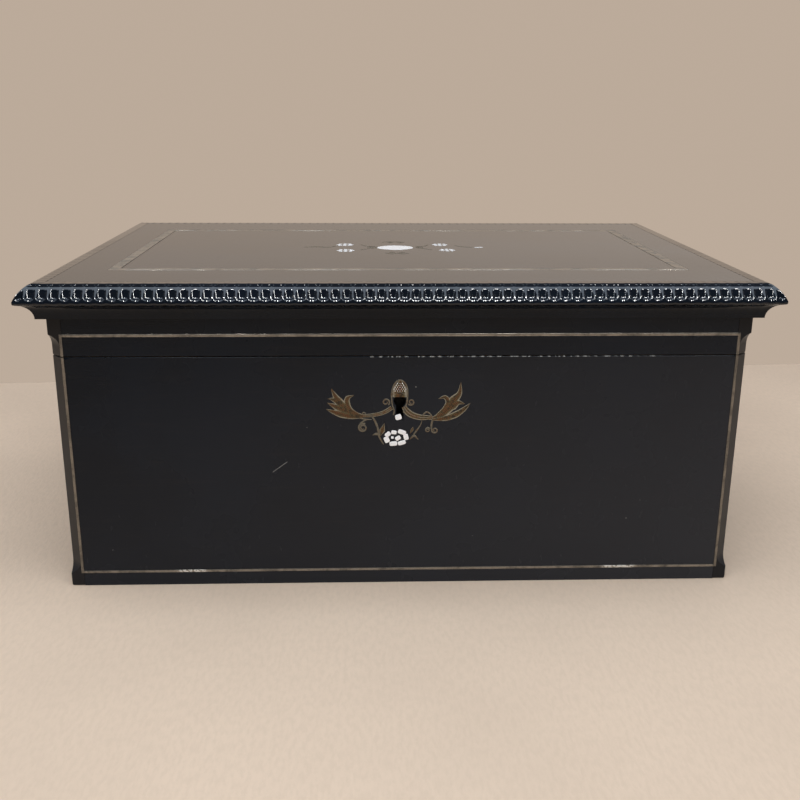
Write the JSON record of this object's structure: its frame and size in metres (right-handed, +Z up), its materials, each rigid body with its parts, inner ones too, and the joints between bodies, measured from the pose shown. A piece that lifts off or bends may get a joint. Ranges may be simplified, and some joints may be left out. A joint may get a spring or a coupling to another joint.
{
  "type": "deed box",
  "caption": "Ebonised wooden box for papers with a hinged lid, fluted cornice, chamfered corner posts, brass stringing, brass and pearl inlay and a box lock.",
  "frame": {"origin": "middle of the underside, on the surface that the box stands on", "axes": "+X to the right along the width, -Y towards the front with the keyhole, +Z up"},
  "size_m": [0.416, 0.292, 0.181],
  "materials": {
    "ebonised_wood": "black stained hardwood under glossy French polish, worn at the arrises",
    "carcass_pine": "bare planed softwood",
    "inlaid_brass": "old dulled brass, let in flush",
    "mother_of_pearl": "polished mother-of-pearl, let in flush",
    "hardware_brass": "lacquered cast and sheet brass",
    "lock_steel": "dull filed steel",
    "lining_paper": "dark red paper on card"
  },
  "bodies": {
    "body": {"body_front_board": "carcass_pine", "body_back_board": "carcass_pine", "body_left_board": "carcass_pine", "body_right_board": "carcass_pine", "bottom_board": "carcass_pine", "body_front_veneer": "ebonised_wood", "body_front_base_strip": "ebonised_wood", "body_back_veneer": "ebonised_wood", "body_left_veneer": "ebonised_wood", "body_right_veneer": "ebonised_wood", "body_post_front_left": "ebonised_wood", "body_post_front_right": "ebonised_wood", "body_post_back_left": "ebonised_wood", "body_post_back_right": "ebonised_wood", "body_strings": "inlaid_brass", "keyhole_inlay": "inlaid_brass", "pearl_flower": "mother_of_pearl", "body_wall_lining": "lining_paper", "body_floor_lining": "lining_paper", "lock_plate": "hardware_brass", "lock_case": "lock_steel", "lock_spring": "lock_steel", "lock_screws": "hardware_brass", "left_hinge_body_leaf": "hardware_brass", "right_hinge_body_leaf": "hardware_brass", "left_hinge_pin": "hardware_brass", "right_hinge_pin": "hardware_brass", "hinge_body_screws": "hardware_brass"},
    "lid": {"lid_front_rail": "carcass_pine", "lid_back_rail": "carcass_pine", "lid_left_rail": "carcass_pine", "lid_right_rail": "carcass_pine", "lid_panel": "carcass_pine", "lid_front_veneer": "ebonised_wood", "lid_front_frieze": "ebonised_wood", "lid_back_veneer": "ebonised_wood", "lid_left_veneer": "ebonised_wood", "lid_right_veneer": "ebonised_wood", "lid_post_front_left": "ebonised_wood", "lid_post_front_right": "ebonised_wood", "lid_post_back_left": "ebonised_wood", "lid_post_back_right": "ebonised_wood", "lid_strings": "inlaid_brass", "lid_top_border": "ebonised_wood", "lid_top_band": "inlaid_brass", "lid_top_field": "ebonised_wood", "lid_brass_scrolls": "inlaid_brass", "lid_pearl_inlay": "mother_of_pearl", "cornice_front": "ebonised_wood", "cornice_back": "ebonised_wood", "cornice_left": "ebonised_wood", "cornice_right": "ebonised_wood", "lid_lining": "lining_paper", "left_hinge_lid_leaf": "hardware_brass", "right_hinge_lid_leaf": "hardware_brass", "hinge_lid_screws": "hardware_brass", "link_plate": "hardware_brass", "link_plate_screws": "hardware_brass"},
    "bolt": {"lock_bolt": "hardware_brass"}
  },
  "joints": [
    {"name": "lid_hinge", "type": "hinge", "parent": "body", "child": "lid", "pos_m": [0, 0.136, 0.13925], "axis": [-1, 0, 0], "range_deg": [0, 98]},
    {"name": "bolt_slide", "type": "slide", "parent": "body", "child": "bolt", "axis": [1, 0, 0], "range_m": [0, 0.005]}
  ]
}
